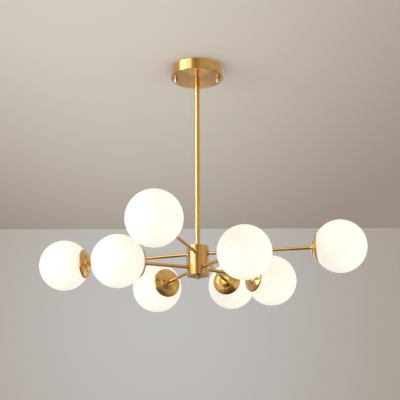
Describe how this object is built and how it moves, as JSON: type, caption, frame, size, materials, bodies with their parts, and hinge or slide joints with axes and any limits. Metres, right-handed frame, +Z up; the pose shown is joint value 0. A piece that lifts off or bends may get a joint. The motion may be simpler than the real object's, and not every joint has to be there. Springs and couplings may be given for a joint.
{
  "type": "branch chandelier",
  "caption": "Ceiling light with a round canopy, a straight stem and a hub with two tiers of straight brass arms, each ending in a cup and an opal glass globe.",
  "frame": {"origin": "middle of the ceiling bracket's top face, on the ceiling plane", "axes": "+Z up, out of the ceiling face along the stem; +X along the ceiling bracket, from stud to stud"},
  "size_m": [0.76, 0.76, 0.5698],
  "materials": {
    "brass": "satin, brushed",
    "dark_brass": "satin",
    "zinc_steel": "zinc plated",
    "opal_glass": "opal, glossy",
    "ceramic": "white glazed ceramic",
    "bulb": "frosted",
    "cable_black": "matt",
    "splice_black": "matt",
    "lead_white": "matt"
  },
  "bodies": {
    "frame": {"canopy": "brass", "ceiling_bracket": "zinc_steel", "bracket_studs": "zinc_steel", "cap_nuts": "brass", "terminal_block": "ceramic", "earth_screw": "brass", "stem_nipples": "zinc_steel", "stem_nuts": "zinc_steel", "upper_stem": "brass", "lower_stem": "brass", "stem_cable": "cable_black", "hub_body": "brass", "hub_cover": "dark_brass", "hub_finial": "brass", "hub_splice": "splice_black", "arm_leads": "lead_white", "arm_nuts": "zinc_steel", "cup_ferrules": "brass", "globe_collars": "zinc_steel", "collar_screws": "brass", "arm_1": "brass", "arm_2": "brass", "arm_3": "brass", "arm_4": "brass", "arm_5": "brass", "arm_6": "brass", "arm_7": "brass", "arm_8": "brass", "cup_1": "brass", "cup_2": "brass", "cup_3": "brass", "cup_4": "brass", "cup_5": "brass", "cup_6": "brass", "cup_7": "brass", "cup_8": "brass", "lampholder_1": "ceramic", "lampholder_2": "ceramic", "lampholder_3": "ceramic", "lampholder_4": "ceramic", "lampholder_5": "ceramic", "lampholder_6": "ceramic", "lampholder_7": "ceramic", "lampholder_8": "ceramic"},
    "globe_1": {"globe_1": "opal_glass"},
    "bulb_1": {"bulb_1": "bulb"},
    "globe_2": {"globe_2": "opal_glass"},
    "bulb_2": {"bulb_2": "bulb"},
    "globe_3": {"globe_3": "opal_glass"},
    "bulb_3": {"bulb_3": "bulb"},
    "globe_4": {"globe_4": "opal_glass"},
    "bulb_4": {"bulb_4": "bulb"},
    "globe_5": {"globe_5": "opal_glass"},
    "bulb_5": {"bulb_5": "bulb"},
    "globe_6": {"globe_6": "opal_glass"},
    "bulb_6": {"bulb_6": "bulb"},
    "globe_7": {"globe_7": "opal_glass"},
    "bulb_7": {"bulb_7": "bulb"},
    "globe_8": {"globe_8": "opal_glass"},
    "bulb_8": {"bulb_8": "bulb"}
  },
  "joints": [
    {"name": "globe_1_draw_off", "type": "slide", "parent": "frame", "child": "globe_1", "axis": [0.9639, -0.2655, -0.0175], "range_m": [0, 0.1]},
    {"name": "bulb_1_pull_out", "type": "slide", "parent": "frame", "child": "bulb_1", "axis": [0.9639, -0.2655, -0.0175], "range_m": [0, 0.016]},
    {"name": "globe_2_draw_off", "type": "slide", "parent": "frame", "child": "globe_2", "axis": [0.8689, 0.4936, -0.0384], "range_m": [0, 0.1]},
    {"name": "bulb_2_pull_out", "type": "slide", "parent": "frame", "child": "bulb_2", "axis": [0.8689, 0.4936, -0.0384], "range_m": [0, 0.016]},
    {"name": "globe_3_draw_off", "type": "slide", "parent": "frame", "child": "globe_3", "axis": [0.2655, 0.9639, -0.0175], "range_m": [0, 0.1]},
    {"name": "bulb_3_pull_out", "type": "slide", "parent": "frame", "child": "bulb_3", "axis": [0.2655, 0.9639, -0.0175], "range_m": [0, 0.016]},
    {"name": "globe_4_draw_off", "type": "slide", "parent": "frame", "child": "globe_4", "axis": [-0.4936, 0.8689, -0.0384], "range_m": [0, 0.1]},
    {"name": "bulb_4_pull_out", "type": "slide", "parent": "frame", "child": "bulb_4", "axis": [-0.4936, 0.8689, -0.0384], "range_m": [0, 0.016]},
    {"name": "globe_5_draw_off", "type": "slide", "parent": "frame", "child": "globe_5", "axis": [-0.9639, 0.2655, -0.0175], "range_m": [0, 0.1]},
    {"name": "bulb_5_pull_out", "type": "slide", "parent": "frame", "child": "bulb_5", "axis": [-0.9639, 0.2655, -0.0175], "range_m": [0, 0.016]},
    {"name": "globe_6_draw_off", "type": "slide", "parent": "frame", "child": "globe_6", "axis": [-0.8689, -0.4936, -0.0384], "range_m": [0, 0.1]},
    {"name": "bulb_6_pull_out", "type": "slide", "parent": "frame", "child": "bulb_6", "axis": [-0.8689, -0.4936, -0.0384], "range_m": [0, 0.016]},
    {"name": "globe_7_draw_off", "type": "slide", "parent": "frame", "child": "globe_7", "axis": [-0.2655, -0.9639, -0.0175], "range_m": [0, 0.1]},
    {"name": "bulb_7_pull_out", "type": "slide", "parent": "frame", "child": "bulb_7", "axis": [-0.2655, -0.9639, -0.0175], "range_m": [0, 0.016]},
    {"name": "globe_8_draw_off", "type": "slide", "parent": "frame", "child": "globe_8", "axis": [0.4936, -0.8689, -0.0384], "range_m": [0, 0.1]},
    {"name": "bulb_8_pull_out", "type": "slide", "parent": "frame", "child": "bulb_8", "axis": [0.4936, -0.8689, -0.0384], "range_m": [0, 0.016]}
  ]
}
